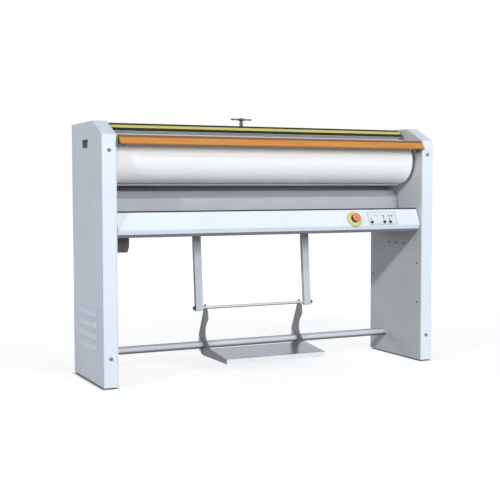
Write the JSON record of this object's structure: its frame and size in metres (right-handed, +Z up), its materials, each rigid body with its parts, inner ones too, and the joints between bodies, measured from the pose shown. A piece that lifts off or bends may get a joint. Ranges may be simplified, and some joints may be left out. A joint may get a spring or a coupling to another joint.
{
  "type": "flatwork ironer",
  "caption": "Flatwork ironer: a padded roller turns against a heated shoe that a foot treadle presses on; sheet-metal pedestals, wooden feed bar, finger guard and tray.",
  "frame": {"origin": "on the floor, under the middle of the machine's bounding box", "axes": "+X to the operator's right along the roller, +Y to the back, +Z up; the operator stands on the -Y side"},
  "size_m": [1.574, 0.45, 1.1075],
  "materials": {
    "white_paint": "white powder coat, satin",
    "grey_paint": "light blue-grey paint, satin",
    "frame_paint": "mid grey paint, satin",
    "bare_steel": "bare steel, brushed",
    "bright_steel": "polished steel",
    "dark_steel": "black enamel on steel and cast parts",
    "black_plastic": "black, fine grain",
    "padding": "white ironing cloth over felt",
    "wood": "varnished beech",
    "guard_yellow": "pale yellow strip with black edges",
    "stop_yellow": "yellow, semi-gloss",
    "stop_red": "red, semi-gloss",
    "rubber": "black rubber, matt",
    "blanket": "mineral wool blanket"
  },
  "bodies": {
    "frame": {"right_frame_plate": "frame_paint", "left_frame_plate": "frame_paint", "right_cover": "white_paint", "left_cover": "white_paint", "right_grip_cup": "black_plastic", "left_grip_cup": "black_plastic", "left_front_foot": "black_plastic", "left_rear_foot": "black_plastic", "right_front_foot": "black_plastic", "right_rear_foot": "black_plastic", "right_roller_bearing": "dark_steel", "left_roller_bearing": "dark_steel", "drive_belt": "rubber", "gear_motor": "dark_steel", "right_shoe_pin": "dark_steel", "left_shoe_pin": "dark_steel", "rear_rail": "frame_paint", "return_spring": "bare_steel", "rear_cover": "grey_paint", "control_beam": "white_paint", "receiving_tray": "bare_steel", "feed_bar": "wood", "right_feed_bracket": "dark_steel", "left_feed_bracket": "dark_steel", "cross_tube": "bright_steel", "control_plate": "bare_steel", "emergency_base": "stop_yellow", "control_box": "dark_steel"},
    "shoe": {"shoe_plate": "bright_steel", "upper_heater": "dark_steel", "lower_heater": "dark_steel", "shoe_insulation": "blanket", "shoe_cover": "grey_paint", "left_shoe_end": "grey_paint", "right_shoe_end": "grey_paint", "guard_hinge_pin": "bare_steel", "left_arm": "grey_paint", "right_arm": "grey_paint", "cross_rod": "bright_steel", "left_rod_cap": "black_plastic", "right_rod_cap": "black_plastic", "spring_bracket": "bare_steel"},
    "guard": {"guard_flap": "grey_paint", "guard_strip": "guard_yellow"},
    "pedal": {"treadle": "bright_steel", "left_hook_plate": "bare_steel", "right_hook_plate": "bare_steel"},
    "roller": {"roller_tube": "bare_steel", "roller_padding": "padding", "left_journal": "bright_steel", "right_journal": "bright_steel", "roller_pulley": "dark_steel"},
    "motor_output": {"motor_shaft": "bright_steel", "motor_pulley": "dark_steel"},
    "handle": {"t_handle": "bare_steel"},
    "nut": {"spring_nut": "bright_steel"},
    "stop_button": {"emergency_button": "stop_red"},
    "button_1": {"push_button_1": "black_plastic"},
    "button_2": {"push_button_2": "black_plastic"},
    "button_3": {"push_button_3": "black_plastic"}
  },
  "joints": [
    {"name": "shoe_swing", "type": "hinge", "parent": "frame", "child": "shoe", "pos_m": [0, -0.01599, 1.022], "axis": [-1, 0, 0], "range_deg": [0, 2.4], "stiffness_Nm_per_rad": 400, "springref_deg": -11.46, "deforming": ["return_spring"]},
    {"name": "guard_lift", "type": "hinge", "parent": "shoe", "child": "guard", "pos_m": [0, 0.06401, 1.0465], "axis": [-1, 0, 0], "range_deg": [0, 12]},
    {"name": "pedal_press", "type": "hinge", "parent": "frame", "child": "pedal", "pos_m": [0, 0.09951, 0.101], "axis": [1, 0, 0], "range_deg": [0, 10.6]},
    {"name": "roller_spin", "type": "hinge", "parent": "frame", "child": "roller", "pos_m": [0, -0.04999, 0.911], "axis": [1, 0, 0], "continuous": true},
    {"name": "motor_spin", "type": "hinge", "parent": "frame", "child": "motor_output", "pos_m": [-0.74, 0.03701, 0.622], "axis": [1, 0, 0], "continuous": true},
    {"name": "handle_turn", "type": "hinge", "parent": "frame", "child": "handle", "pos_m": [0, 0.19101, 1.056], "axis": [0, 0, 1], "range_deg": [-720, 720]},
    {"name": "nut_travel", "type": "slide", "parent": "frame", "child": "nut", "axis": [0, 0, 1], "range_m": [-0.00501, 0.00501]},
    {"name": "stop_press", "type": "slide", "parent": "frame", "child": "stop_button", "axis": [0, 0.9149, -0.4036], "range_m": [0, 0.004]},
    {"name": "button_1_press", "type": "slide", "parent": "frame", "child": "button_1", "axis": [0, 0.9149, -0.4036], "range_m": [0, 0.003], "stiffness_N_per_m": 300, "springref_m": -0.002},
    {"name": "button_2_press", "type": "slide", "parent": "frame", "child": "button_2", "axis": [0, 0.9149, -0.4036], "range_m": [0, 0.003], "stiffness_N_per_m": 300, "springref_m": -0.002},
    {"name": "button_3_press", "type": "slide", "parent": "frame", "child": "button_3", "axis": [0, 0.9149, -0.4036], "range_m": [0, 0.003], "stiffness_N_per_m": 300, "springref_m": -0.002}
  ],
  "couplings": [
    {"joint": "pedal_press", "follows": "shoe_swing", "ratio": 4.4},
    {"joint": "motor_spin", "follows": "roller_spin", "ratio": 2.4},
    {"joint": "nut_travel", "follows": "handle_turn", "m_per_rad": 0.00039789}
  ]
}
